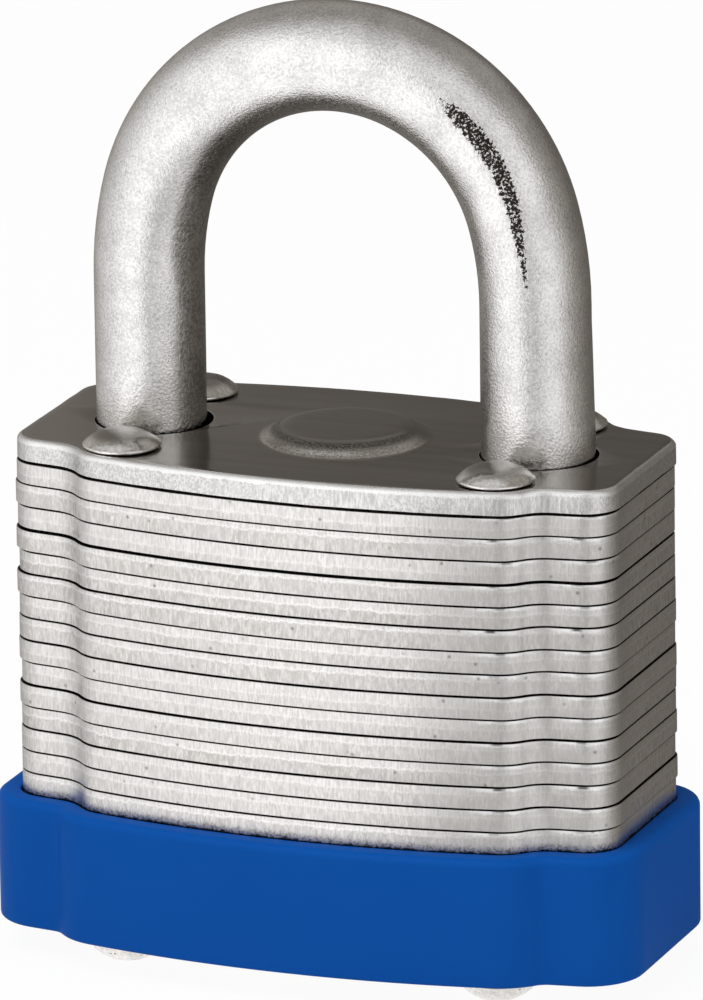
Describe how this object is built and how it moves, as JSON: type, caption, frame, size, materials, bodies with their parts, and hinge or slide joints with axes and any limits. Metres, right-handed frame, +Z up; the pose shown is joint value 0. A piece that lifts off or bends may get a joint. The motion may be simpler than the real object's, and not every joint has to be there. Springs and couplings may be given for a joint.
{
  "type": "padlock",
  "caption": "Laminated steel padlock: riveted plate stack, round arched shackle that lifts and locks on spring bolts, plug and cam inside, soft plastic bumper round the foot.",
  "frame": {"origin": "on the ground under the middle of the body, in the plane of the four bottom rivet heads", "axes": "+Z up along the shackle's legs, +X towards the shackle's toe leg, -Y towards the front face"},
  "size_m": [0.0538, 0.03, 0.0768],
  "materials": {
    "plate_steel": "stamped mild steel, zinc plated, edges burnished",
    "top_plate_steel": "brushed, plated, darker than the edges",
    "rivet_steel": "satin, peened",
    "shackle_steel": "hardened alloy steel, satin blasted with a fine grain",
    "bolt_steel": "hardened, plain",
    "spring_steel": "drawn wire",
    "brass": "machined",
    "pin_nickel_silver": "turned nickel silver",
    "housing_zinc": "die cast",
    "bumper_plastic": "soft satin vinyl, blue"
  },
  "bodies": {
    "lock_body": {"bolt_plate_1": "plate_steel", "bolt_plate_2": "plate_steel", "bolt_springs": "spring_steel", "bottom_plate": "plate_steel", "bumper": "bumper_plastic", "cam_plate": "plate_steel", "chamber_cap": "brass", "cylinder_housing": "housing_zinc", "cylinder_plate_1": "plate_steel", "cylinder_plate_10": "plate_steel", "cylinder_plate_11": "plate_steel", "cylinder_plate_12": "plate_steel", "cylinder_plate_13": "plate_steel", "cylinder_plate_14": "plate_steel", "cylinder_plate_2": "plate_steel", "cylinder_plate_3": "plate_steel", "cylinder_plate_4": "plate_steel", "cylinder_plate_5": "plate_steel", "cylinder_plate_6": "plate_steel", "cylinder_plate_7": "plate_steel", "cylinder_plate_8": "plate_steel", "cylinder_plate_9": "plate_steel", "driver_pin_1": "pin_nickel_silver", "driver_pin_2": "pin_nickel_silver", "driver_pin_3": "pin_nickel_silver", "driver_pin_4": "pin_nickel_silver", "driver_pin_5": "pin_nickel_silver", "guide_plate_1": "plate_steel", "guide_plate_2": "plate_steel", "pin_spring_1": "spring_steel", "pin_spring_2": "spring_steel", "pin_spring_3": "spring_steel", "pin_spring_4": "spring_steel", "pin_spring_5": "spring_steel", "retaining_plate": "plate_steel", "rivets": "rivet_steel", "shackle_spring": "spring_steel", "top_plate": "top_plate_steel"},
    "shackle": {"shackle": "shackle_steel"},
    "plug": {"plug": "brass", "plug_clip": "spring_steel", "cam": "brass", "key_pin_1": "brass", "key_pin_2": "brass", "key_pin_3": "brass", "key_pin_4": "brass", "key_pin_5": "brass"},
    "toe_bolt": {"toe_bolt": "bolt_steel"},
    "heel_bolt": {"heel_bolt": "bolt_steel"}
  },
  "joints": [
    {"name": "shackle_lift", "type": "slide", "parent": "lock_body", "child": "shackle", "axis": [0, 0, 1], "range_m": [0, 0.014], "deforming": ["shackle_spring"]},
    {"name": "plug_turn", "type": "hinge", "parent": "lock_body", "child": "plug", "pos_m": [0, 0, 0.02], "axis": [0, 0, 1], "range_deg": [-90, 0]},
    {"name": "toe_bolt_slide", "type": "slide", "parent": "lock_body", "child": "toe_bolt", "axis": [1, 0, 0], "range_m": [0, 0.0021]},
    {"name": "heel_bolt_slide", "type": "slide", "parent": "lock_body", "child": "heel_bolt", "axis": [-1, 0, 0], "range_m": [0, 0.0021]}
  ],
  "couplings": [
    {"joint": "toe_bolt_slide", "follows": "plug_turn", "m_per_rad": -0.001336},
    {"joint": "heel_bolt_slide", "follows": "plug_turn", "m_per_rad": -0.001336}
  ]
}
